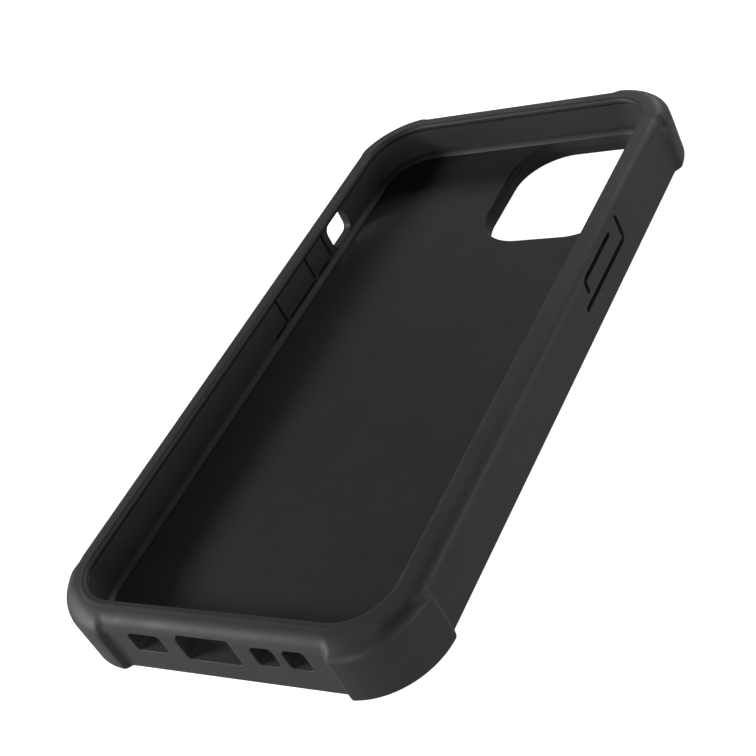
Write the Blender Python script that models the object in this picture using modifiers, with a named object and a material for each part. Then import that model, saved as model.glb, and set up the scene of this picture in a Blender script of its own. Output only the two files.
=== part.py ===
"""Bumper case for a 6.1-inch phone: a soft frame round a stiff back plate, with three moulded buttons.

The case lies on its back. X runs across it, +Y points to the phone's top edge and +Z comes out of
the open front. The origin is the centre of the back, in the plane that the case rests on.
"""

import math

import bmesh
import bpy
from mathutils import Matrix, Vector

MM = 0.001

# The phone that the case holds
PHONE_WIDTH = 71.5 * MM
PHONE_LENGTH = 146.7 * MM
PHONE_THICKNESS = 7.65 * MM

# The frame's walls, measured inwards from the outer face
WALL = 4.3 * MM
HALF_WIDTH = PHONE_WIDTH / 2 + WALL
HALF_LENGTH = PHONE_LENGTH / 2 + WALL
LIP_INSET = WALL + 1.0 * MM
BEAD_INSET = WALL + 0.9 * MM
GROOVE_INSET = 2.4 * MM
BACK_RIM_INSET = 3.6 * MM
LIP_CORNER = 9.6 * MM

# Outer corner radii: top right, top left, bottom left, bottom right
OUTER_CORNERS = (15.6 * MM, 15.3 * MM, 16.0 * MM, 14.2 * MM)

# Heights above the back
FLOOR = 4.2 * MM
PLATE_THICKNESS = 2.0 * MM
LIP_UNDERSIDE = FLOOR + PHONE_THICKNESS + 0.05 * MM
HEIGHT = LIP_UNDERSIDE + 1.2 * MM
CREST = HEIGHT - 0.3 * MM
SHOULDER = HEIGHT - 0.15 * MM
SIDE_REACH = 1.7 * MM
SIDE_DROP = 2.5 * MM
END_ROUNDING = 3.5 * MM
NOSE_REACH = 0.9 * MM
NOSE_RISE = 0.6 * MM
BEAD_TOP = FLOOR + 1.05 * MM
BOTTOM_ROUNDING = 0.8 * MM

# Clearance between pieces that are fitted to each other
GAP = 0.3 * MM

# Corner bumpers: how far they stand proud, and where each one starts along the end and the side
BUMPER = 1.1 * MM
END_RAMP = 1.5 * MM
SIDE_RAMP = 1.8 * MM
BUMPER_START = {
    (1, 1): (23.8 * MM, 61.2 * MM),
    (-1, 1): (25.3 * MM, 61.6 * MM),
    (-1, -1): (23.4 * MM, 61.9 * MM),
    (1, -1): (26.1 * MM, 62.4 * MM),
}
CORNER_STEPS = 8

# Camera opening in the plate, and the raised ring round it
CAMERA_LEFT = 0.5 * MM
CAMERA_RIGHT = 34.7 * MM
CAMERA_BOTTOM = 36.5 * MM
CAMERA_TOP = 72.35 * MM
CAMERA_CORNER = 11.5 * MM
GUARD_WALL = 1.3 * MM

# Openings in the bottom wall: centre across, width, centre height, height
PORTS = {
    "microphone_slot": (-14.2 * MM, 7.6 * MM, 8.15 * MM, 4.6 * MM),
    "charging_port": (0.0 * MM, 12.5 * MM, 8.05 * MM, 6.2 * MM),
    "speaker_slot_inner": (12.9 * MM, 4.8 * MM, 8.25 * MM, 4.7 * MM),
    "speaker_slot_outer": (19.85 * MM, 4.7 * MM, 8.3 * MM, 4.7 * MM),
}
PORT_CORNER = 0.9 * MM

# Mute switch opening in the left wall: a straight land inside, flared towards the outside
MUTE_BOTTOM_END = 37.0 * MM
MUTE_TOP_END = 45.7 * MM
MUTE_LOW = 5.3 * MM
MUTE_HIGH = 11.3 * MM
MUTE_CORNER = 1.8 * MM
MUTE_LAND = 2.0 * MM
MUTE_FLARE_END = 3.2 * MM
MUTE_FLARE_LOW = 2.4 * MM

# Power button in the right wall, between two hooked slits
POWER_SLIT = 1.0 * MM
POWER_FAR = 31.8 * MM
POWER_NEAR = 12.85 * MM
POWER_LOW = 6.1 * MM
POWER_HIGH = 10.85 * MM
POWER_TAIL = 9.75 * MM
POWER_WEB_START = 27.45 * MM
POWER_WEB_TOP = 8.0 * MM

# Volume buttons in the left wall, side by side between three hooked slits
VOLUME_SLIT = 0.7 * MM
VOLUME_REACH = 0.7 * MM
VOLUME_FAR = 34.6 * MM
VOLUME_SPLIT = 26.3 * MM
VOLUME_NEAR = 11.85 * MM
VOLUME_LOW = 5.3 * MM
VOLUME_HIGH = 11.75 * MM
VOLUME_TAIL = 6.3 * MM
VOLUME_UP_WEBS = (27.9 * MM, 31.0 * MM)
VOLUME_DOWN_WEBS = (13.5 * MM, 22.6 * MM)

# Colours, as linear values
SOFT_BLACK = (0.036, 0.036, 0.038, 1.0)
PLATE_BLACK = (0.030, 0.029, 0.030, 1.0)
RING_BLACK = (0.022, 0.022, 0.023, 1.0)


# ---------------------------------------------------------------- scene and helpers

def clear_scene():
    for item in list(bpy.data.objects):
        bpy.data.objects.remove(item, do_unlink=True)


def new_collection(name):
    collection = bpy.data.collections.new(name)
    bpy.context.scene.collection.children.link(collection)
    return collection


def material(name, colour, roughness):
    made = bpy.data.materials.new(name)
    made.use_nodes = True
    shader = made.node_tree.nodes["Principled BSDF"]
    shader.inputs["Base Color"].default_value = colour
    shader.inputs["Roughness"].default_value = roughness
    shader.inputs["Metallic"].default_value = 0.0
    made.diffuse_color = colour
    return made


def link_mesh(name, mesh, collection, surface=None):
    item = bpy.data.objects.new(name, mesh)
    collection.objects.link(item)
    if surface:
        mesh.materials.append(surface)
    return item


def finish_shading(item):
    item.data.shade_smooth()
    item.data.set_sharp_from_angle(angle=math.radians(30))


def hide_cutter(item):
    item.hide_render = True
    item.display_type = "WIRE"
    return item


def rounded_rectangle(low_u, high_u, low_v, high_v, radius, steps=6):
    """Corner arcs joined by straight sides, counterclockwise."""
    centres = [
        (high_u - radius, high_v - radius),
        (low_u + radius, high_v - radius),
        (low_u + radius, low_v + radius),
        (high_u - radius, low_v + radius),
    ]
    points = []
    for quarter, (u, v) in enumerate(centres):
        for step in range(steps + 1):
            angle = math.pi / 2 * (quarter + step / steps)
            points.append((u + radius * math.cos(angle), v + radius * math.sin(angle)))
    return points


# How a flat outline is turned so that it is extruded along Z, X or Y
FACING = {
    "Z": Matrix.Identity(4),
    "X": Matrix(((0, 0, 1, 0), (1, 0, 0, 0), (0, 1, 0, 0), (0, 0, 0, 1))),
    "Y": Matrix(((1, 0, 0, 0), (0, 0, -1, 0), (0, 1, 0, 0), (0, 0, 0, 1))),
}


def prism(name, outline, facing, low, high, collection, surface=None, centre=(0.0, 0.0)):
    """A flat outline extruded from low to high; centre is the outline point at the origin."""
    curve = bpy.data.curves.new(name, "CURVE")
    curve.dimensions = "2D"
    curve.fill_mode = "BOTH"
    curve.extrude = (high - low) / 2
    spline = curve.splines.new("POLY")
    spline.points.add(len(outline) - 1)
    for point, (u, v) in zip(spline.points, outline):
        point.co = (u - centre[0], v - centre[1], 0.0, 1.0)
    spline.use_cyclic_u = True

    guide = bpy.data.objects.new(name + "_outline", curve)
    bpy.context.scene.collection.objects.link(guide)
    turn = FACING[facing]
    middle = (low + high) / 2
    if facing == "Y":
        middle = -middle
    guide.matrix_world = turn @ Matrix.Translation((centre[0], centre[1], middle))
    bpy.context.view_layer.update()

    evaluated = guide.evaluated_get(bpy.context.evaluated_depsgraph_get())
    mesh = bpy.data.meshes.new_from_object(evaluated)
    mesh.name = name
    shape = bmesh.new()
    shape.from_mesh(mesh)
    bmesh.ops.remove_doubles(shape, verts=shape.verts, dist=0.001 * MM)
    shape.to_mesh(mesh)
    shape.free()
    item = link_mesh(name, mesh, collection, surface)
    item.matrix_world = guide.matrix_world
    bpy.data.objects.remove(guide, do_unlink=True)
    return item


def cut(item, cutter):
    modifier = item.modifiers.new("cut_" + cutter.name, "BOOLEAN")
    modifier.operation = "DIFFERENCE"
    modifier.solver = "EXACT"
    modifier.object = cutter


def soften(item, width):
    modifier = item.modifiers.new("soft_edges", "BEVEL")
    modifier.width = width
    modifier.segments = 2
    modifier.limit_method = "ANGLE"
    modifier.angle_limit = math.radians(50)


# ---------------------------------------------------------------- frame

def ring_point(half_width, half_length, radii, segment, t):
    """Point and outward normal on a rounded rectangle, counterclockwise from the right side.

    Even segments are the straight sides and odd ones the corners; t runs from 0 to 1 along each.
    The radii are those of the corners, in the order in which they are passed.
    """
    quarter = segment // 2
    radius = radii[quarter]
    if segment % 2:
        centre = Vector((half_width - radius, half_length - radius))
        if quarter in (1, 2):
            centre.x = -centre.x
        if quarter in (2, 3):
            centre.y = -centre.y
        angle = math.pi / 2 * (quarter + t)
        normal = Vector((math.cos(angle), math.sin(angle)))
        return centre + radius * normal, normal
    normal = Vector((math.cos(math.pi / 2 * quarter), math.sin(math.pi / 2 * quarter)))
    along = Vector((-normal.y, normal.x))
    side, half = (half_width, half_length) if quarter % 2 == 0 else (half_length, half_width)
    start = radii[quarter - 1] - half
    end = half - radius
    return side * normal + along * (start + (end - start) * t), normal


def bumper_height(point):
    """How far the corner bumper stands out at a point of the outer wall."""
    corner = (1 if point.x > 0 else -1, 1 if point.y > 0 else -1)
    end_start, side_start = BUMPER_START[corner]
    end = (abs(point.x) - end_start) / END_RAMP
    side = (abs(point.y) - side_start) / SIDE_RAMP
    return BUMPER * max(0.0, min(1.0, end, side))


def ramp_places():
    """Where each bumper's ramp starts and ends, as segment and fraction along it."""
    places = []
    for quarter, corner in enumerate(((1, 1), (-1, 1), (-1, -1), (1, -1))):
        for side in (quarter, (quarter + 1) % 4):
            across = side % 2 == 1
            start = BUMPER_START[corner][0 if across else 1]
            ramp = END_RAMP if across else SIDE_RAMP
            half = HALF_WIDTH if across else HALF_LENGTH
            after_corner = side != quarter
            for reach in (start, start + ramp):
                straight = half - OUTER_CORNERS[quarter]
                if reach > straight:
                    turn = math.asin((reach - straight) / OUTER_CORNERS[quarter]) / (math.pi / 2)
                    places.append((2 * quarter + 1, 1 - turn if after_corner else turn))
                    continue
                far = half - OUTER_CORNERS[side if after_corner else side - 1]
                t = (straight - reach) / (straight + far)
                places.append((2 * side, t if after_corner else 1 - t))
    return places


def frame_stations():
    """Places round the frame where its section is drawn."""
    places = set()
    for segment, t in ramp_places():
        places.add((segment, round(t, 5)))
    for corner in (1, 3, 5, 7):
        for step in range(CORNER_STEPS + 1):
            t = step / CORNER_STEPS
            close = [place for place in places if place[0] == corner and abs(place[1] - t) < 0.04]
            if not close:
                places.add((corner, t))
    return sorted(places)


def arc(centre, radius, start, end, steps):
    """Points of an arc in a section, from angle start to angle end in degrees."""
    points = []
    for step in range(steps + 1):
        angle = math.radians(start + (end - start) * step / steps)
        points.append((centre[0] + radius * math.cos(angle), centre[1] + radius * math.sin(angle)))
    return points


def smooth(t):
    t = max(0.0, min(1.0, t))
    return t * t * (3 - 2 * t)


def side_lip():
    """Top of the wall on the sides and at the top end, as (inset, height, share of the bumper's step).

    A rounded crest, a faint valley behind it and a plain slope up to the lip's ridge.
    """
    points = []
    for step in range(5):
        angle = math.pi / 2 * step / 4
        points.append((
            SIDE_REACH * (1 - math.cos(angle)), CREST - SIDE_DROP * (1 - math.sin(angle)), 1.0))
    points.append((2.45 * MM, CREST - 0.02 * MM, 0.5))
    points.append((3.6 * MM, CREST + 0.15 * MM, 0.0))
    return points


def end_lip():
    """Top of the wall at the bottom end, with as many points: one broad rounding up to the lip."""
    points = []
    for u, v in arc((END_ROUNDING, SHOULDER - END_ROUNDING), END_ROUNDING, 180, 95, 5):
        points.append((u, v, 1.0 - smooth(u / (3 * MM) - 0.2)))
    points.append((3.8 * MM, SHOULDER + 0.08 * MM, 0.0))
    return points


def frame_section(end):
    """The wall's section, from the sides (end 0) to the bottom end (end 1)."""
    points = [(u, v, 1.0) for u, v in arc((BOTTOM_ROUNDING, BOTTOM_ROUNDING), BOTTOM_ROUNDING, 270, 180, 3)]
    for side, bottom in zip(side_lip(), end_lip()):
        points.append(tuple(a + (b - a) * end for a, b in zip(side, bottom)))

    inner = []
    for step in range(4):
        angle = math.pi / 2 * step / 3
        inner.append((
            LIP_INSET - NOSE_REACH * (1 - math.sin(angle)), HEIGHT - NOSE_RISE * (1 - math.cos(angle))))
    inner.append((LIP_INSET - 0.1 * MM, LIP_UNDERSIDE + 0.35 * MM))
    inner.append((WALL, LIP_UNDERSIDE))
    bead_reach = BEAD_INSET - WALL
    inner += arc((WALL, BEAD_TOP - bead_reach), bead_reach, 90, 0, 3)
    inner.append((BEAD_INSET, FLOOR + GAP))
    inner.append((GROOVE_INSET, FLOOR + GAP))
    inner.append((GROOVE_INSET, FLOOR - PLATE_THICKNESS - GAP))
    inner.append((BACK_RIM_INSET, FLOOR - PLATE_THICKNESS - GAP))
    inner.append((BACK_RIM_INSET, GAP))
    inner.append((BACK_RIM_INSET - GAP, 0.0))
    return points + [(u, v, 0.0) for u, v in inner]


def make_frame_body(collection, surface):
    """The section carried round the case; a point's share says how far it follows the outer corners."""
    mesh = bpy.data.meshes.new("bumper_frame")
    shape = bmesh.new()
    rings = []
    for segment, t in frame_stations():
        nominal, normal = ring_point(HALF_WIDTH, HALF_LENGTH, OUTER_CORNERS, segment, t)
        bump = normal * bumper_height(nominal)
        ring = []
        for inset, height, share in frame_section(smooth((-normal.y - 0.6) / 0.3)):
            outer_radii = [radius - inset for radius in OUTER_CORNERS]
            inner_radii = [LIP_CORNER + LIP_INSET - inset] * 4
            outer, _ = ring_point(HALF_WIDTH - inset, HALF_LENGTH - inset, outer_radii, segment, t)
            inner, _ = ring_point(HALF_WIDTH - inset, HALF_LENGTH - inset, inner_radii, segment, t)
            place = inner.lerp(outer + bump, share)
            ring.append(shape.verts.new((*place, height)))
        rings.append(ring)
    for ring, following in zip(rings, rings[1:] + rings[:1]):
        for index in range(len(ring)):
            after = (index + 1) % len(ring)
            shape.faces.new((ring[index], following[index], following[after], ring[after]))
    bmesh.ops.recalc_face_normals(shape, faces=shape.faces)
    shape.to_mesh(mesh)
    shape.free()
    return link_mesh("bumper_frame", mesh, collection, surface)


def make_port_cutters(cutters):
    made = []
    for name, (across, width, height, tall) in PORTS.items():
        outline = rounded_rectangle(
            across - width / 2, across + width / 2, height - tall / 2, height + tall / 2, PORT_CORNER, 4)
        low = -HALF_LENGTH - 2 * MM
        high = -HALF_LENGTH + LIP_INSET + 2 * MM
        made.append(hide_cutter(prism(name + "_cutter", outline, "Y", low, high, cutters)))
    return made


def make_mute_cutter(cutters):
    """A loft from the straight land out to a wider mouth on the outer face."""
    inner_face = -HALF_WIDTH + WALL
    land_face = inner_face - MUTE_LAND
    depth = WALL - MUTE_LAND
    over = 1 * MM
    narrow = (MUTE_BOTTOM_END, MUTE_TOP_END, MUTE_LOW, MUTE_HIGH)
    wide = (MUTE_BOTTOM_END - GAP, MUTE_TOP_END + MUTE_FLARE_END, MUTE_LOW - MUTE_FLARE_LOW, MUTE_HIGH)
    slope = (depth + over) / depth
    beyond = [near + (far - near) * slope for near, far in zip(narrow, wide)]
    stages = [(inner_face + 2 * MM, narrow), (land_face, narrow), (-HALF_WIDTH - over, beyond)]
    mesh = bpy.data.meshes.new("mute_switch_cutter")
    shape = bmesh.new()
    rings = []
    for x, (low_y, high_y, low_z, high_z) in stages:
        outline = rounded_rectangle(low_y, high_y, low_z, high_z, MUTE_CORNER, 4)
        rings.append([shape.verts.new((x, y, z)) for y, z in outline])
    for ring, following in zip(rings, rings[1:]):
        for index in range(len(ring)):
            after = (index + 1) % len(ring)
            shape.faces.new((ring[index], ring[after], following[after], following[index]))
    shape.faces.new(rings[0])
    shape.faces.new(rings[-1])
    bmesh.ops.recalc_face_normals(shape, faces=shape.faces)
    shape.to_mesh(mesh)
    shape.free()
    return hide_cutter(link_mesh("mute_switch_cutter", mesh, cutters))


def make_power_cutter(cutters):
    half = POWER_SLIT / 2
    web_face = POWER_NEAR - half - GAP
    outline = [
        (POWER_TAIL, POWER_LOW - half),
        (POWER_FAR + half, POWER_LOW - half),
        (POWER_FAR + half, POWER_HIGH + half + GAP),
        (POWER_FAR - half, POWER_HIGH + half + GAP),
        (POWER_FAR - half, POWER_HIGH + half),
        (POWER_NEAR - half, POWER_HIGH + half),
        (POWER_NEAR - half, POWER_WEB_TOP),
        (web_face, POWER_WEB_TOP),
        (web_face, POWER_LOW + half),
        (POWER_TAIL, POWER_LOW + half),
    ]
    low = HALF_WIDTH - WALL - 2 * MM
    return hide_cutter(prism("power_button_cutter", outline, "X", low, HALF_WIDTH + 2 * MM, cutters))


def make_volume_cutter(cutters):
    half = VOLUME_SLIT / 2
    outline = [
        (VOLUME_TAIL, VOLUME_LOW - half),
        (VOLUME_FAR + half, VOLUME_LOW - half),
        (VOLUME_FAR + half, VOLUME_HIGH + half),
        (VOLUME_NEAR - half, VOLUME_HIGH + half),
        (VOLUME_NEAR - half, VOLUME_LOW + half),
        (VOLUME_TAIL, VOLUME_LOW + half),
    ]
    high = -HALF_WIDTH + WALL + VOLUME_REACH
    return hide_cutter(prism("volume_button_cutter", outline, "X", -HALF_WIDTH - 2 * MM, high, cutters))


def make_frame(collection, cutters, surface):
    frame = make_frame_body(collection, surface)
    for cutter in make_port_cutters(cutters):
        cut(frame, cutter)
    cut(frame, make_mute_cutter(cutters))
    cut(frame, make_power_cutter(cutters))
    cut(frame, make_volume_cutter(cutters))
    finish_shading(frame)
    return frame


# ---------------------------------------------------------------- back plate and camera ring

def make_back_plate(collection, cutters, surface):
    inset = GROOVE_INSET + GAP
    across = HALF_WIDTH - inset
    along = HALF_LENGTH - inset
    corner = LIP_CORNER + LIP_INSET - inset
    outline = rounded_rectangle(-across, across, -along, along, corner, CORNER_STEPS)
    plate = prism("back_plate", outline, "Z", FLOOR - PLATE_THICKNESS, FLOOR, collection, surface)
    opening = rounded_rectangle(
        CAMERA_LEFT, CAMERA_RIGHT, CAMERA_BOTTOM, CAMERA_TOP, CAMERA_CORNER, CORNER_STEPS)
    cut(plate, hide_cutter(prism("camera_cutter", opening, "Z", 0.0, HEIGHT, cutters)))
    finish_shading(plate)
    return plate


def make_camera_guard(collection, cutters, surface):
    outline = rounded_rectangle(
        CAMERA_LEFT - GUARD_WALL, CAMERA_RIGHT + GUARD_WALL, CAMERA_BOTTOM - GUARD_WALL,
        CAMERA_TOP + GUARD_WALL, CAMERA_CORNER + GUARD_WALL, CORNER_STEPS)
    top = FLOOR - PLATE_THICKNESS - GAP
    guard = prism("camera_guard", outline, "Z", 0.0, top, collection, surface)
    opening = rounded_rectangle(
        CAMERA_LEFT, CAMERA_RIGHT, CAMERA_BOTTOM, CAMERA_TOP, CAMERA_CORNER, CORNER_STEPS)
    cut(guard, hide_cutter(prism("guard_cutter", opening, "Z", -1 * MM, HEIGHT, cutters)))
    soften(guard, 0.3 * MM)
    finish_shading(guard)
    return guard


# ---------------------------------------------------------------- buttons

def make_power_button(collection, surface):
    """Flap between the two slits, with a web at its far top end and one at its near bottom end."""
    half = POWER_SLIT / 2
    outline = [
        (POWER_NEAR - half, POWER_LOW + half),
        (POWER_FAR - half, POWER_LOW + half),
        (POWER_FAR - half, POWER_HIGH + half - GAP),
        (POWER_WEB_START, POWER_HIGH + half - GAP),
        (POWER_WEB_START, POWER_HIGH - half),
        (POWER_NEAR + half, POWER_HIGH - half),
        (POWER_NEAR + half, POWER_WEB_TOP - GAP),
        (POWER_NEAR - half, POWER_WEB_TOP - GAP),
    ]
    middle = ((POWER_NEAR + POWER_FAR) / 2, (POWER_LOW + POWER_HIGH) / 2)
    button = prism("power_button", outline, "X", HALF_WIDTH - WALL, HALF_WIDTH, collection, surface, middle)
    finish_shading(button)
    return button


def make_volume_button(name, near, far, webs, collection, surface):
    """Flap between two slits, with a web at its near bottom end and one at its far top end."""
    half = VOLUME_SLIT / 2
    low_web_end, high_web_start = webs
    outline = [
        (near + half, VOLUME_LOW - half + GAP),
        (low_web_end, VOLUME_LOW - half + GAP),
        (low_web_end, VOLUME_LOW + half),
        (far - half, VOLUME_LOW + half),
        (far - half, VOLUME_HIGH + half - GAP),
        (high_web_start, VOLUME_HIGH + half - GAP),
        (high_web_start, VOLUME_HIGH - half),
        (near + half, VOLUME_HIGH - half),
    ]
    middle = ((near + far) / 2, (VOLUME_LOW + VOLUME_HIGH) / 2)
    button = prism(name, outline, "X", -HALF_WIDTH, -HALF_WIDTH + WALL, collection, surface, middle)
    finish_shading(button)
    return button


# ---------------------------------------------------------------- assembly

def main():
    clear_scene()
    case = new_collection("phone_case")
    cutters = new_collection("cutters")
    soft = material("soft_black_rubber", SOFT_BLACK, 0.62)
    stiff = material("matte_black_plate", PLATE_BLACK, 0.55)
    ring = material("black_camera_ring", RING_BLACK, 0.4)
    buttons = material("soft_black_buttons", SOFT_BLACK, 0.6)

    pieces = [make_frame(case, cutters, soft)]
    pieces.append(make_back_plate(case, cutters, stiff))
    pieces.append(make_camera_guard(case, cutters, ring))
    pieces.append(make_power_button(case, buttons))
    pieces.append(make_volume_button(
        "volume_up_button", VOLUME_SPLIT, VOLUME_FAR, VOLUME_UP_WEBS, case, buttons))
    pieces.append(make_volume_button(
        "volume_down_button", VOLUME_NEAR, VOLUME_SPLIT, VOLUME_DOWN_WEBS, case, buttons))

    centre = bpy.data.objects.new("phone_case_centre", None)
    case.objects.link(centre)
    for piece in pieces:
        piece.parent = centre


main()
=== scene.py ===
"""Looks of the phone case: a soft black frame, a stiff back plate, a camera ring and three buttons."""

import math

import bmesh
import bpy
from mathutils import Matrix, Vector


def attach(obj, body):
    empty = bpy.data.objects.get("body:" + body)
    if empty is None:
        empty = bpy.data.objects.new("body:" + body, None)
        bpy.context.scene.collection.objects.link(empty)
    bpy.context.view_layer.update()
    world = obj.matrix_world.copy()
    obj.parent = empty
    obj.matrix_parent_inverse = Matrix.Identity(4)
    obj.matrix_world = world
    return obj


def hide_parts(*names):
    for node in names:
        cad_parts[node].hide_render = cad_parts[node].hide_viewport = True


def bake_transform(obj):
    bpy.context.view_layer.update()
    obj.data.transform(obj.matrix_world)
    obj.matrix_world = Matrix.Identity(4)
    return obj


MM = 0.001

# Frame section in millimetres: insets run inwards from the outer face, heights up from the table
HALF_WIDTH = 40.05
HALF_LENGTH = 77.65
OUTER_CORNERS = (15.6, 15.3, 16.0, 14.2)
INNER_CORNER = 14.9
WALL = 4.3
FLOOR = 4.2
PLATE_BACK = 2.2
PLATE_GROOVE_INSET = 2.4
BACK_RIM_INSET = 3.6
BACK_RIM_ROUNDING = 0.4
BOTTOM_ROUNDING = 0.8
SNUG = 0.03
FOOT_BEAD_TOP = 5.25
FOOT_BEAD_INSET = 5.65

# Top of the wall: its rounding outside, on the sides and at the bottom end, and the lip's top
CREST = 13.0
SIDE_REACH = 2.6
SIDE_DROP = 2.3
SHOULDER = 12.97
END_ROUNDING = 3.5
LIP_INSET = 5.3
LIP_TOP = 13.1
LIP_UNDERSIDE = 11.9

# Inner edge of the lip: plain (reach and rise of its rounding), or a round bead over a fine groove
EDGE_REACH = 1.3
EDGE_RISE = 0.75
LIP_BEAD_CENTRE = 1.4
LIP_BEAD_RADIUS = 0.74
LIP_GROOVE_HIGH = 11.73
LIP_GROOVE_LOW = 11.44
LIP_GROOVE_DEPTH = 0.65

# Corner bumpers: step, ramps on the end and side walls, and where they start (across, along)
BUMPER = 1.095
END_RAMP = 1.5
SIDE_RAMP = 1.8
BUMPER_START = ((23.8, 61.2), (25.3, 61.6), (23.4, 61.9), (26.1, 62.4))
CORNER_SIGNS = ((1, 1), (-1, 1), (-1, -1), (1, -1))

# Towards the crest, from this height and over this span, the bumper is lower and starts later
FADE_START = 10.0
FADE_SPAN = 2.6
FADE_SHARE = 0.45
FADE_SHIFT = 2.1
FADE_END_RAMP = 0.8
FADE_SIDE_RAMP = 1.1

# Distances between the frame's sections: where the bumper ramps, round a corner, on a straight
RAMP_STRIDE = 0.22
CORNER_STRIDE = 0.9
STRAIGHT_STRIDE = 3.0
LOOK_AHEAD = 1.2

# Camera opening: low and high across, low and high along, and the ring behind it
CAMERA = (0.5, 34.7, 36.5, 72.35)
CAMERA_CORNER = 11.5
CAMERA_EDGE = 0.25
GUARD_WALL = 1.3

# Openings in the bottom wall: centre across, width, centre height, height
PORTS = {
    "microphone": (-14.22, 7.61, 8.16, 4.62),
    "charging": (0.0, 12.5, 8.05, 6.2),
    "speaker_inner": (12.9, 4.8, 8.25, 4.7),
    "speaker_outer": (19.85, 4.7, 8.3, 4.7),
}
PORT_CORNER = 0.9
PORT_EDGE = 0.22

# Mute switch opening: along the wall, then height
MUTE = (37.0, 45.7, 5.3, 11.3)
MUTE_CORNER = 1.8
MUTE_LAND = 2.0
MUTE_FLARE_END = 3.2
MUTE_FLARE_LOW = 2.4

# Slits: half widths, radii of mouths and bends, and centre lines as (along the wall, height).
# A bend's radius is more than half width and mouth together, or the slit would cross itself.
POWER_HALVES = (0.55, 0.55)
POWER_EDGE = 0.25
POWER_BEND = 0.9
POWER_REACH = 0.3
POWER_SLITS = (
    ((31.8, 11.25), (31.8, 6.1), (10.2, 6.1)),
    ((26.95, 10.85), (12.85, 10.85), (12.85, 8.5)),
)
VOLUME_HALVES = (0.45, 0.33, 0.33)
VOLUME_EDGE = 0.1
VOLUME_BEND = 0.6
VOLUME_REACH = 0.25
VOLUME_SLITS = (
    ((34.6, 11.7), (34.6, 5.2), (28.2, 5.2)),
    ((30.75, 11.85), (26.3, 11.85), (26.3, 5.2), (13.7, 5.2)),
    ((22.5, 11.85), (11.85, 11.85), (11.85, 5.2), (6.6, 5.2)),
)

# Button pads and their webs: low and high along the wall, low and high height
POWER_PAD = (12.85, 31.8, 6.1, 10.85)
POWER_TOP_WEB = (27.45, 31.8, 10.85, 12.0)
POWER_END_WEB = (11.4, 12.85, 6.1, 8.0)
VOLUME_UP_PAD = (26.3, 34.6, 5.2, 11.85)
VOLUME_UP_LOW_WEB = (26.3, 27.9, 4.4, 5.2)
VOLUME_UP_TOP_WEB = (31.0, 34.6, 11.85, 12.5)
VOLUME_DOWN_PAD = (11.85, 26.3, 5.2, 11.85)
VOLUME_DOWN_LOW_WEB = (11.85, 13.5, 4.4, 5.2)
VOLUME_DOWN_TOP_WEB = (22.6, 26.3, 11.85, 12.5)

# How far the blocks that part these pieces from the frame reach past the wall's faces
WEB_MARGIN = 3.0

# Studio, in metres, degrees and watts: lights as name, azimuth, elevation, power
FLOOR_REACH = 6.0
FLOOR_LEVEL = -0.0002
BOUNCE = 0.21
BOUNCE_DROP = -0.0003
LIGHT_SIZE = (0.30, 0.20)
LIGHTS = (
    ("left_window", 300, 25, 5.9),
    ("left_back_window", 270, 25, 1.3),
    ("back_window", 180, 25, 2.0),
    ("right_back_window", 150, 25, 0.6),
    ("back_left_window", 210, 25, 0.35),
    ("front_window", 330, 48, 0.25),
    ("left_front_strip", 330, 4, 0.8),
    ("front_strip", 0, 4, 2.5),
    ("right_strip", 90, 4, 2.1),
    ("right_back_strip", 120, 4, 1.1),
    ("right_front_strip", 60, 4, 0.85),
)
CAMERA_PLACE = (0.17142, -0.18180, 0.16902)
CAMERA_TURN = (52.474, 24.507, 27.004)
CAMERA_LENS = 69.78
CAMERA_SENSOR = 36.0


# ---------------------------------------------------------------- outlines and meshes

def rounded_rectangle(low_u, high_u, low_v, high_v, radius, steps=10):
    centres = (
        (high_u - radius, high_v - radius),
        (low_u + radius, high_v - radius),
        (low_u + radius, low_v + radius),
        (high_u - radius, low_v + radius),
    )
    points = []
    for quarter, (u, v) in enumerate(centres):
        for step in range(steps + 1):
            angle = math.pi / 2 * (quarter + step / steps)
            points.append((u + radius * math.cos(angle), v + radius * math.sin(angle)))
    return points


def arc(centre, radius, start, end, steps):
    points = []
    for step in range(steps + 1):
        angle = math.radians(start + (end - start) * step / steps)
        points.append((centre[0] + radius * math.cos(angle), centre[1] + radius * math.sin(angle)))
    return points


def smooth(t):
    t = max(0.0, min(1.0, t))
    return t * t * (3 - 2 * t)


def new_object(name, mesh):
    item = bpy.data.objects.new(name, mesh)
    bpy.context.scene.collection.objects.link(item)
    return item


def loft(name, rings):
    """A closed solid through rings of points in millimetres, with flat ends."""
    mesh = bpy.data.meshes.new(name)
    shape = bmesh.new()
    made = [[shape.verts.new([value * MM for value in point]) for point in ring] for ring in rings]
    for ring, following in zip(made, made[1:]):
        for index in range(len(ring)):
            after = (index + 1) % len(ring)
            shape.faces.new((ring[index], ring[after], following[after], following[index]))
    shape.faces.new(made[0])
    shape.faces.new(made[-1])
    bmesh.ops.recalc_face_normals(shape, faces=shape.faces)
    shape.to_mesh(mesh)
    shape.free()
    return new_object(name, mesh)


def block(name, side, low_x, high_x):
    """A block over a stretch of a side wall: side is low and high along the wall, low and high height."""
    low_y, high_y, low_z, high_z = side
    outline = ((low_y, low_z), (high_y, low_z), (high_y, high_z), (low_y, high_z))
    return loft(name, [[(x, y, z) for y, z in outline] for x in (low_x, high_x)])


def boolean(item, others, operation):
    """item with the others cut from it, or kept to them, as a new mesh in item."""
    group = bpy.data.collections.new(item.name + "_operands")
    for other in others:
        group.objects.link(other)
    modifier = item.modifiers.new("boolean", "BOOLEAN")
    modifier.operation = operation
    modifier.solver = "EXACT"
    modifier.operand_type = "COLLECTION"
    modifier.collection = group
    bpy.context.view_layer.update()
    result = bpy.data.meshes.new_from_object(item.evaluated_get(bpy.context.evaluated_depsgraph_get()))
    item.modifiers.remove(modifier)
    item.data = result
    bpy.data.collections.remove(group)
    return item


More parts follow.
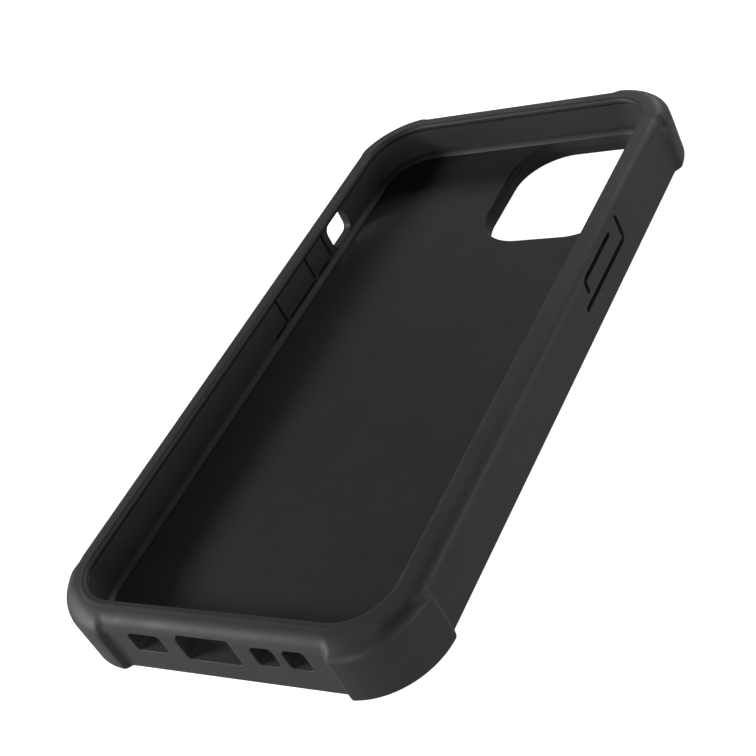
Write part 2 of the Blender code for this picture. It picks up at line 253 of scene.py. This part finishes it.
def copied(item, name):
    return new_object(name, item.data.copy())


def discard(items):
    for item in items:
        bpy.data.objects.remove(item, do_unlink=True)


def finish_surface(item, surface, angle=32):
    item.data.materials.clear()
    item.data.materials.append(surface)
    item.data.shade_smooth()
    item.data.set_sharp_from_angle(angle=math.radians(angle))
    modifier = item.modifiers.new("weighted", "WEIGHTED_NORMAL")
    modifier.keep_sharp = True
    modifier.weight = 80
    return item


# ---------------------------------------------------------------- frame

def ring_point(half_width, half_length, radii, segment, t):
    """Point and outward normal on a rounded rectangle, counterclockwise from the right side."""
    quarter = segment // 2
    radius = radii[quarter]
    if segment % 2:
        sign_x, sign_y = CORNER_SIGNS[quarter]
        centre = Vector((sign_x * (half_width - radius), sign_y * (half_length - radius)))
        angle = math.pi / 2 * (quarter + t)
        normal = Vector((math.cos(angle), math.sin(angle)))
        return centre + radius * normal, normal
    normal = Vector((math.cos(math.pi / 2 * quarter), math.sin(math.pi / 2 * quarter)))
    along = Vector((-normal.y, normal.x))
    side, half = (half_width, half_length) if quarter % 2 == 0 else (half_length, half_width)
    start = radii[quarter - 1] - half
    end = half - radius
    return side * normal + along * (start + (end - start) * t), normal


def bumper_height(point, height):
    """How far the corner bumper stands out at a point of the outer wall; less, and later, at the crest."""
    corner = CORNER_SIGNS.index((1 if point.x > 0 else -1, 1 if point.y > 0 else -1))
    end_start, side_start = BUMPER_START[corner]
    top = smooth((height - FADE_START) / FADE_SPAN)
    end = (abs(point.x) - end_start) / (END_RAMP + FADE_END_RAMP * top)
    side = (abs(point.y) - side_start - FADE_SHIFT * top) / (SIDE_RAMP + FADE_SIDE_RAMP * top)
    return BUMPER * (1 - FADE_SHARE * top) * smooth(min(end, side))


def stations():
    """Places round the frame where its section is drawn: segment and fraction along it."""
    places = []
    for segment in range(8):
        quarter = segment // 2
        if segment % 2:
            length = OUTER_CORNERS[quarter] * math.pi / 2
        else:
            half = HALF_LENGTH if quarter % 2 == 0 else HALF_WIDTH
            length = 2 * half - OUTER_CORNERS[quarter] - OUTER_CORNERS[quarter - 1]
        t = 0.0
        while t < 1 - 1e-6:
            places.append((segment, t))
            here, _ = ring_point(HALF_WIDTH, HALF_LENGTH, OUTER_CORNERS, segment, t)
            next_t = min(1.0, t + LOOK_AHEAD / length)
            ahead, _ = ring_point(HALF_WIDTH, HALF_LENGTH, OUTER_CORNERS, segment, next_t)
            ramps = any(abs(bumper_height(ahead, z) - bumper_height(here, z)) > 0.01 for z in (5.0, CREST))
            stride = RAMP_STRIDE if ramps else (CORNER_STRIDE if segment % 2 else STRAIGHT_STRIDE)
            t += stride / length
            if 1 - t < 0.4 * stride / length:
                t = 1.0
    return places


def side_lip():
    """Top of the wall on the sides and at the top end: (inset, height, share of the bumper's step)."""
    points = []
    for step in range(11):
        angle = math.pi / 2 * step / 10
        inset = SIDE_REACH * (1 - math.cos(angle))
        points.append((inset, CREST - SIDE_DROP * (1 - math.sin(angle)), 1.0))
    ridge = LIP_INSET - EDGE_REACH
    for step in range(1, 11):
        inset = SIDE_REACH + (ridge - SIDE_REACH) * step / 11
        rise = (LIP_TOP - CREST) * step / 11
        points.append((inset, CREST + rise, 1.0 - smooth(step / 9)))
    return points


def end_lip():
    """Top of the wall at the bottom end, with as many points: a broad rounding up to a plain lip."""
    points = []
    for step in range(15):
        angle = math.radians(180 - 86 * step / 14)
        share = 1.0 - smooth((step - 5) / 9)
        inset = END_ROUNDING + END_ROUNDING * math.cos(angle)
        points.append((inset, SHOULDER - END_ROUNDING + END_ROUNDING * math.sin(angle), share))
    start, height, _ = points[-1]
    ridge = LIP_INSET - EDGE_REACH
    for step in range(1, 7):
        reach = step / 7
        points.append((start + (ridge - start) * reach, height + (LIP_TOP - height) * reach, 0.0))
    return points


def plain_edge():
    """Inner edge of the lip where it is plain: a broad rounding, then the slope of its underside."""
    points = []
    for step in range(10):
        angle = math.pi / 2 * step / 9
        points.append((
            LIP_INSET - EDGE_REACH * (1 - math.sin(angle)), LIP_TOP - EDGE_RISE * (1 - math.cos(angle))))
    points += [(LIP_INSET - 0.03, LIP_UNDERSIDE + 0.38), (LIP_INSET - 0.12, LIP_UNDERSIDE + 0.3)]
    points += [(WALL + 0.6, LIP_UNDERSIDE + 0.16), (WALL + 0.3, LIP_UNDERSIDE + 0.02)]
    points += [(WALL + 0.1, LIP_UNDERSIDE - 0.1), (WALL, LIP_UNDERSIDE - 0.3)]
    return points


def beaded_edge():
    """Inner edge of the lip where it is a round bead, and the groove under it, with as many points."""
    centre = (LIP_INSET - LIP_BEAD_CENTRE, LIP_TOP - LIP_BEAD_RADIUS)
    points = arc(centre, LIP_BEAD_RADIUS, 90, -57, 11)
    points += [(WALL - LIP_GROOVE_DEPTH, LIP_GROOVE_HIGH), (WALL - LIP_GROOVE_DEPTH, LIP_GROOVE_LOW)]
    points += [(WALL - 0.1, LIP_GROOVE_LOW), (WALL, LIP_GROOVE_LOW - 0.06)]
    return points


def frame_section(end, beaded):
    """Points of the wall's section: (inset, height, share of the outer corners and the bumper's step).

    end runs from 0 on the sides to 1 at the bottom end, and beaded from 0 for a plain lip to 1.
    """
    points = [(u, v, 1.0) for u, v in arc((BOTTOM_ROUNDING, BOTTOM_ROUNDING), BOTTOM_ROUNDING, 270, 180, 7)]
    for height in (3.0, 5.0, 7.0, 8.6):
        points.append((0.0, height, 1.0))
    for side, bottom in zip(side_lip(), end_lip()):
        points.append(tuple(a + (b - a) * end for a, b in zip(side, bottom)))
    inner = []
    for plain, bead in zip(plain_edge(), beaded_edge()):
        inner.append(tuple(a + (b - a) * beaded for a, b in zip(plain, bead)))
    inner += [(WALL, height) for height in (10.5, 9.0, 7.5, 6.2)]
    inner += foot_bead()
    inner += [(PLATE_GROOVE_INSET, FLOOR + SNUG), (PLATE_GROOVE_INSET, PLATE_BACK - SNUG)]
    inner.append((BACK_RIM_INSET, PLATE_BACK - SNUG))
    inner += arc((BACK_RIM_INSET - BACK_RIM_ROUNDING, BACK_RIM_ROUNDING), BACK_RIM_ROUNDING, 0, -90, 4)
    return points + [(u, v, 0.0) for u, v in inner]


def foot_bead():
    """The bead at the foot of the wall: a convex hump that runs out softly on the plate."""
    points = []
    for step in range(12):
        reach = step / 11
        height = math.cos(math.pi / 2 * reach) ** 0.8 if reach < 1 else 0.0
        height = height * (1 - 0.15 * reach)
        inset = WALL + (FOOT_BEAD_INSET - WALL) * reach
        points.append((inset, FLOOR + SNUG + (FOOT_BEAD_TOP - FLOOR - SNUG) * height))
    return points


def make_wall():
    """The whole frame before anything is cut from it, its lip beaded on the left and at the top."""
    mesh = bpy.data.meshes.new("case_frame")
    shape = bmesh.new()
    rings = []
    for segment, t in stations():
        nominal, normal = ring_point(HALF_WIDTH, HALF_LENGTH, OUTER_CORNERS, segment, t)
        ring = []
        end = smooth((-normal.y - 0.6) / 0.3)
        beaded = smooth(0.5 + 0.57 * (normal.y - normal.x))
        for inset, height, share in frame_section(end, beaded):
            outer_radii = [radius - inset for radius in OUTER_CORNERS]
            inner_radii = [INNER_CORNER - inset] * 4
            outer, _ = ring_point(HALF_WIDTH - inset, HALF_LENGTH - inset, outer_radii, segment, t)
            inner, _ = ring_point(HALF_WIDTH - inset, HALF_LENGTH - inset, inner_radii, segment, t)
            place = inner.lerp(outer + normal * bumper_height(nominal, height), share)
            ring.append(shape.verts.new((place.x * MM, place.y * MM, height * MM)))
        rings.append(ring)
    for ring, following in zip(rings, rings[1:] + rings[:1]):
        for index in range(len(ring)):
            after = (index + 1) % len(ring)
            shape.faces.new((ring[index], following[index], following[after], ring[after]))
    bmesh.ops.recalc_face_normals(shape, faces=shape.faces)
    shape.to_mesh(mesh)
    shape.free()
    return new_object("case_frame", mesh)


def edge_profile(radius, steps=4):
    """Depth and outward offset of a rounded mouth, from the face inwards."""
    profile = []
    for step in range(steps + 1):
        angle = math.pi / 2 * step / steps
        profile.append((radius * (1 - math.cos(angle)), radius * (1 - math.sin(angle))))
    return profile


def port_cutters():
    made = []
    for name, (across, width, height, tall) in PORTS.items():
        stages = [(-HALF_LENGTH - 1.0, PORT_EDGE)]
        stages += [(-HALF_LENGTH + depth, offset) for depth, offset in edge_profile(PORT_EDGE)]
        stages.append((-HALF_LENGTH + LIP_INSET + 1.0, 0.0))
        rings = []
        for y, offset in stages:
            outline = rounded_rectangle(
                across - width / 2 - offset, across + width / 2 + offset,
                height - tall / 2 - offset, height + tall / 2 + offset, PORT_CORNER + offset, 8)
            rings.append([(u, y, v) for u, v in outline])
        made.append(loft(name + "_cutter", rings))
    return made


def mute_cutter():
    """A straight land on the inside, flared towards the outside."""
    low_y, high_y, low_z, high_z = MUTE
    inner_face = -HALF_WIDTH + WALL
    depth = WALL - MUTE_LAND
    stages = [(inner_face + 2.0, 0.0, 0.15), (inner_face, 0.0, 0.15), (inner_face - 0.06, 0.0, 0.05)]
    stages += [(inner_face - 0.15, 0.0, 0.0), (inner_face - MUTE_LAND + 0.2, 0.0, 0.0)]
    for step in range(1, 9):
        share = step / 8
        reach = share * (depth + 0.8)
        stages.append((inner_face - MUTE_LAND - reach, share ** 1.15 * (depth + 0.8) / depth, 0.0))
    rings = []
    for x, flare, offset in stages:
        outline = rounded_rectangle(
            low_y - 0.3 * flare - offset, high_y + MUTE_FLARE_END * flare + offset,
            low_z - MUTE_FLARE_LOW * flare - offset, high_z + offset, MUTE_CORNER + offset, 8)
        rings.append([(x, y, z) for y, z in outline])
    return loft("mute_cutter", rings)


def bent_line(points, radius, steps=5):
    """A line through points with its bends rounded."""
    line = [Vector(points[0])]
    for before, bend, after in zip(points, points[1:], points[2:]):
        bend = Vector(bend)
        back = (Vector(before) - bend).normalized()
        ahead = (Vector(after) - bend).normalized()
        centre = bend + (back + ahead) * radius
        start = bend + back * radius - centre
        for step in range(steps + 1):
            angle = math.pi / 2 * step / steps
            line.append(centre + start * math.cos(angle) - back * radius * math.sin(angle))
    line.append(Vector(points[-1]))
    return line


def stroke(line, half, cap_steps=6):
    """Outline of a line drawn with a round pen."""
    left, right = [], []
    for index, point in enumerate(line):
        before = line[max(index - 1, 0)]
        after = line[min(index + 1, len(line) - 1)]
        along = (after - before).normalized()
        side = Vector((-along.y, along.x))
        left.append(point + side * half)
        right.append(point - side * half)
    outline = list(left)
    for end, first, turn_from in ((line[-1], left[-1], -1), (line[0], right[0], -1)):
        if end is line[0]:
            outline += reversed(right)
        for step in range(1, cap_steps):
            angle = turn_from * math.pi * step / cap_steps
            arm = first - end
            outline.append(end + Vector((
                arm.x * math.cos(angle) - arm.y * math.sin(angle),
                arm.x * math.sin(angle) + arm.y * math.cos(angle))))
    return outline


def slit_cutters(name, slits, halves, bend, edge, reach, sign):
    """Solids that cut the slits through a side wall, with rounded mouths on both faces."""
    outer_face = HALF_WIDTH
    inner_face = HALF_WIDTH - WALL
    stages = [(outer_face + 1.0, edge)]
    stages += [(outer_face - depth, offset) for depth, offset in edge_profile(edge, 4)]
    stages += [(inner_face + depth, offset) for depth, offset in reversed(edge_profile(edge, 4))]
    stages.append((inner_face - reach, edge))
    made = []
    for number, (points, half) in enumerate(zip(slits, halves)):
        line = bent_line(points, bend)
        rings = []
        for x, offset in stages:
            rings.append([(sign * x, point.x, point.y) for point in stroke(line, half + offset)])
        made.append(loft(f"{name}_slit_{number}", rings))
    return made


def split_along(item, axis, low, high, steps=8):
    """Extra rows of points across a web."""
    shape = bmesh.new()
    shape.from_mesh(item.data)
    normal = [0.0, 0.0, 0.0]
    normal[axis] = 1.0
    for step in range(1, steps):
        place = [0.0, 0.0, 0.0]
        place[axis] = (low + (high - low) * step / steps) * MM
        everything = shape.verts[:] + shape.edges[:] + shape.faces[:]
        bmesh.ops.bisect_plane(shape, geom=everything, plane_co=place, plane_no=normal)
    shape.to_mesh(item.data)
    shape.free()


def make_frame_and_buttons(rubber, button_rubber):
    wall = make_wall()
    cutters = port_cutters() + [mute_cutter()]
    cutters += slit_cutters("power", POWER_SLITS, POWER_HALVES, POWER_BEND, POWER_EDGE, POWER_REACH, 1)
    cutters += slit_cutters("volume", VOLUME_SLITS, VOLUME_HALVES, VOLUME_BEND, VOLUME_EDGE, VOLUME_REACH, -1)
    boolean(wall, cutters, "DIFFERENCE")
    discard(cutters)

    # name, region, side, body, node that it replaces, and a web's span for extra rows of points as (axis,
    # start, end)
    right = (HALF_WIDTH - WALL - WEB_MARGIN, HALF_WIDTH + WEB_MARGIN)
    left = (-HALF_WIDTH - WEB_MARGIN, -HALF_WIDTH + WALL + WEB_MARGIN)
    parts = (
        ("power_pad", POWER_PAD, right, "power_key", "power_button", None),
        ("power_top_web", POWER_TOP_WEB, right, "power_key", None, (2, 12.0, 10.85)),
        ("power_end_web", POWER_END_WEB, right, "power_key", None, (1, 11.4, 12.85)),
        ("volume_up_pad", VOLUME_UP_PAD, left, "volume_up_key", "volume_up_button", None),
        ("volume_up_low_web", VOLUME_UP_LOW_WEB, left, "volume_up_key", None, (2, 4.4, 5.2)),
        ("volume_up_top_web", VOLUME_UP_TOP_WEB, left, "volume_up_key", None, (2, 12.5, 11.85)),
        ("volume_down_pad", VOLUME_DOWN_PAD, left, "volume_down_key", "volume_down_button", None),
        ("volume_down_low_web", VOLUME_DOWN_LOW_WEB, left, "volume_down_key", None, (2, 4.4, 5.2)),
        ("volume_down_top_web", VOLUME_DOWN_TOP_WEB, left, "volume_down_key", None, (2, 12.5, 11.85)),
    )
    # A short stretch of each side wall, so that the cuts of the small pieces are quick
    nearby = {}
    for reach, side in ((right, (9.0, 34.0, 0.5, 13.5)), (left, (5.0, 36.3, 0.5, 13.5))):
        piece = copied(wall, "nearby")
        box = block("nearby_block", side, *reach)
        nearby[reach] = boolean(piece, [box], "INTERSECT")
        discard([box])

    for name, region, reach, body, node, web in parts:
        piece = copied(nearby[reach], name)
        box = block(name + "_block", region, *reach)
        boolean(piece, [box], "INTERSECT")
        discard([box])
        if web:
            axis, start, end = web
            split_along(piece, axis, start, end)
        finish_surface(piece, button_rubber)
        if web:
            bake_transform(piece)
        else:
            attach(piece, body)
            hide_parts(node)

    regions = []
    for name, region, reach, _, _, _ in parts:
        regions.append(block(name + "_region", region, *reach))
    for region in regions:
        boolean(wall, [region], "DIFFERENCE")
    discard(regions + list(nearby.values()))
    finish_surface(wall, rubber)
    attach(wall, "case")
    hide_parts("bumper_frame")
    return wall


# ---------------------------------------------------------------- plate and camera ring

def grown(offset):
    low_x, high_x, low_y, high_y = CAMERA
    return rounded_rectangle(
        low_x - offset, high_x + offset, low_y - offset, high_y + offset, CAMERA_CORNER + offset, 20)


def tube(name, loops):
    """A closed band: loops of points of equal length, joined one after the other and back round."""
    mesh = bpy.data.meshes.new(name)
    shape = bmesh.new()
    made = [[shape.verts.new([value * MM for value in point]) for point in loop] for loop in loops]
    for loop, following in zip(made, made[1:] + made[:1]):
        for index in range(len(loop)):
            after = (index + 1) % len(loop)
            shape.faces.new((loop[index], loop[after], following[after], following[index]))
    bmesh.ops.recalc_face_normals(shape, faces=shape.faces)
    shape.to_mesh(mesh)
    shape.free()
    return new_object(name, mesh)


def make_plate(surface):
    inset = PLATE_GROOVE_INSET + 0.3
    radius = INNER_CORNER - inset
    outline = rounded_rectangle(
        -HALF_WIDTH + inset, HALF_WIDTH - inset, -HALF_LENGTH + inset, HALF_LENGTH - inset, radius, 20)
    plate = loft("case_back_plate", [[(u, v, z) for u, v in outline] for z in (PLATE_BACK, FLOOR)])
    stages = [(FLOOR + 1.0, CAMERA_EDGE)]
    stages += [(FLOOR - depth, offset) for depth, offset in edge_profile(CAMERA_EDGE, 5)]
    stages += [(PLATE_BACK - 1.0, 0.0)]
    cutter = loft("camera_cutter", [[(u, v, z) for u, v in grown(offset)] for z, offset in stages])
    boolean(plate, [cutter], "DIFFERENCE")
    discard([cutter])
    finish_surface(plate, surface)
    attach(plate, "case")
    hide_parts("back_plate")
    return plate


def make_guard(surface):
    top = PLATE_BACK - 0.01
    profile = [(0.0, top), (0.0, 0.35)]
    profile += arc((0.3, 0.3), 0.3, 180, 270, 4)
    profile += arc((GUARD_WALL - 0.45, 0.45), 0.45, 270, 360, 5)
    profile += [(GUARD_WALL, 1.2), (GUARD_WALL, top)]
    guard = tube("camera_ring", [[(u, v, z) for u, v in grown(offset)] for offset, z in profile])
    finish_surface(guard, surface)
    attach(guard, "case")
    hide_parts("camera_guard")
    return guard


# ---------------------------------------------------------------- materials

def moulded(name, colour, roughness, grain, depth, sheen):
    """Matte moulded plastic: a fine spark-eroded grain, faint cloudiness and uneven gloss."""
    made = bpy.data.materials.new(name)
    made.use_nodes = True
    nodes = made.node_tree.nodes
    links = made.node_tree.links
    shader = nodes["Principled BSDF"]
    place = nodes.new("ShaderNodeTexCoord")

    def noise(scale, detail, rough=0.5):
        node = nodes.new("ShaderNodeTexNoise")
        node.inputs["Scale"].default_value = scale
        node.inputs["Detail"].default_value = detail
        node.inputs["Roughness"].default_value = rough
        links.new(place.outputs["Object"], node.inputs["Vector"])
        return node

    def spread(source, low, high):
        node = nodes.new("ShaderNodeMapRange")
        node.inputs["From Min"].default_value = 0.3
        node.inputs["From Max"].default_value = 0.7
        node.inputs["To Min"].default_value = low
        node.inputs["To Max"].default_value = high
        links.new(source.outputs["Fac"], node.inputs["Value"])
        return node

    tone = spread(noise(70.0, 3.0), 0.92, 1.08)
    tint = nodes.new("ShaderNodeMix")
    tint.data_type = "RGBA"
    tint.blend_type = "MULTIPLY"
    tint.inputs["Factor"].default_value = 1.0
    tint.inputs["A"].default_value = (*colour, 1.0)
    links.new(tone.outputs["Result"], tint.inputs["B"])
    links.new(tint.outputs["Result"], shader.inputs["Base Color"])

    gloss = spread(noise(220.0, 4.0), roughness - 0.05, roughness + 0.05)
    links.new(gloss.outputs["Result"], shader.inputs["Roughness"])

    pits = noise(grain, 2.0, 0.6)
    bump = nodes.new("ShaderNodeBump")
    bump.inputs["Strength"].default_value = 0.35
    bump.inputs["Distance"].default_value = depth
    links.new(pits.outputs["Fac"], bump.inputs["Height"])
    links.new(bump.outputs["Normal"], shader.inputs["Normal"])

    shader.inputs["Specular IOR Level"].default_value = 0.4
    shader.inputs["Sheen Weight"].default_value = sheen
    shader.inputs["Sheen Roughness"].default_value = 0.6
    return made


# ---------------------------------------------------------------- studio

def add_light(name, azimuth, elevation, power):
    """An area light a metre off, aimed at the part. Azimuth 0 stands at -Y and 90 at +X."""
    turn, rise = math.radians(azimuth), math.radians(elevation)
    place = Vector((math.sin(turn) * math.cos(rise), -math.cos(turn) * math.cos(rise), math.sin(rise)))
    data = bpy.data.lights.new(name, "AREA")
    data.shape = "RECTANGLE"
    data.size, data.size_y = LIGHT_SIZE
    data.energy = power
    item = bpy.data.objects.new(name, data)
    bpy.context.scene.collection.objects.link(item)
    item.location = place
    item.rotation_euler = (-place).to_track_quat("-Z", "Y").to_euler()
    item.visible_camera = False
    return item


def make_studio():
    mesh = bpy.data.meshes.new("studio_floor")
    corners = [(x, y, FLOOR_LEVEL) for x, y in (
        (-FLOOR_REACH, -FLOOR_REACH), (FLOOR_REACH, -FLOOR_REACH),
        (FLOOR_REACH, FLOOR_REACH), (-FLOOR_REACH, FLOOR_REACH))]
    mesh.from_pydata(corners, [], [(0, 1, 2, 3)])
    floor = new_object("studio_floor", mesh)
    white = bpy.data.materials.new("studio_white")
    white.use_nodes = True
    shader = white.node_tree.nodes["Principled BSDF"]
    shader.inputs["Base Color"].default_value = (0.9, 0.9, 0.9, 1.0)
    shader.inputs["Roughness"].default_value = 0.9
    shader.inputs["Emission Color"].default_value = (1.0, 1.0, 1.0, 1.0)
    shader.inputs["Emission Strength"].default_value = 1.0
    mesh.materials.append(white)
    floor.visible_diffuse = False
    floor.visible_glossy = False
    floor.visible_shadow = False

    # Light that the table throws back, apart from the floor that is seen
    glow = bpy.data.materials.new("studio_bounce")
    glow.use_nodes = True
    shader = glow.node_tree.nodes["Principled BSDF"]
    shader.inputs["Base Color"].default_value = (0.0, 0.0, 0.0, 1.0)
    shader.inputs["Emission Color"].default_value = (1.0, 1.0, 1.0, 1.0)
    shader.inputs["Emission Strength"].default_value = BOUNCE
    bounce = new_object("studio_bounce", mesh.copy())
    bounce.data.materials.clear()
    bounce.data.materials.append(glow)
    bounce.location.z = BOUNCE_DROP
    bounce.visible_camera = False

    world = bpy.data.worlds.new("studio")
    bpy.context.scene.world = world
    world.use_nodes = True
    background = world.node_tree.nodes["Background"]
    background.inputs["Color"].default_value = (1.0, 1.0, 1.0, 1.0)
    background.inputs["Strength"].default_value = 1.0
    # The white surroundings are only seen; the windows below give the light
    world.cycles_visibility.diffuse = False
    world.cycles_visibility.glossy = False
    world.cycles_visibility.transmission = False
    world.cycles_visibility.scatter = False

    for light in LIGHTS:
        add_light(*light)


def make_camera():
    data = bpy.data.cameras.new("camera")
    data.sensor_width = CAMERA_SENSOR
    data.lens = CAMERA_LENS
    data.clip_start = 0.01
    camera = bpy.data.objects.new("camera", data)
    bpy.context.scene.collection.objects.link(camera)
    camera.location = CAMERA_PLACE
    camera.rotation_euler = [math.radians(angle) for angle in CAMERA_TURN]
    bpy.context.scene.camera = camera


# ---------------------------------------------------------------- assembly

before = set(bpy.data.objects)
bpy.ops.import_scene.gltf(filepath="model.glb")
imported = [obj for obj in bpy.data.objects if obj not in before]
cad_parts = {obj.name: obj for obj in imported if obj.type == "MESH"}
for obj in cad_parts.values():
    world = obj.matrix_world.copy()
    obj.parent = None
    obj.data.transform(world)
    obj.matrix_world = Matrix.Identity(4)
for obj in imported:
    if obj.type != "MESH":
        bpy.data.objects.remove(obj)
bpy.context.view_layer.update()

rubber = moulded("soft_black_rubber", (0.036, 0.036, 0.038), 0.52, 5200.0, 0.00006, 0.05)
button_rubber = moulded("soft_black_buttons", (0.036, 0.036, 0.038), 0.52, 5200.0, 0.00006, 0.05)
plate_plastic = moulded("matte_black_plate", (0.033, 0.032, 0.033), 0.6, 4200.0, 0.00005, 0.0)
ring_plastic = moulded("black_camera_ring", (0.022, 0.022, 0.023), 0.42, 6500.0, 0.00003, 0.0)

make_frame_and_buttons(rubber, button_rubber)
make_plate(plate_plastic)
make_guard(ring_plastic)
make_studio()
make_camera()
bpy.context.scene.view_settings.view_transform = "Standard"
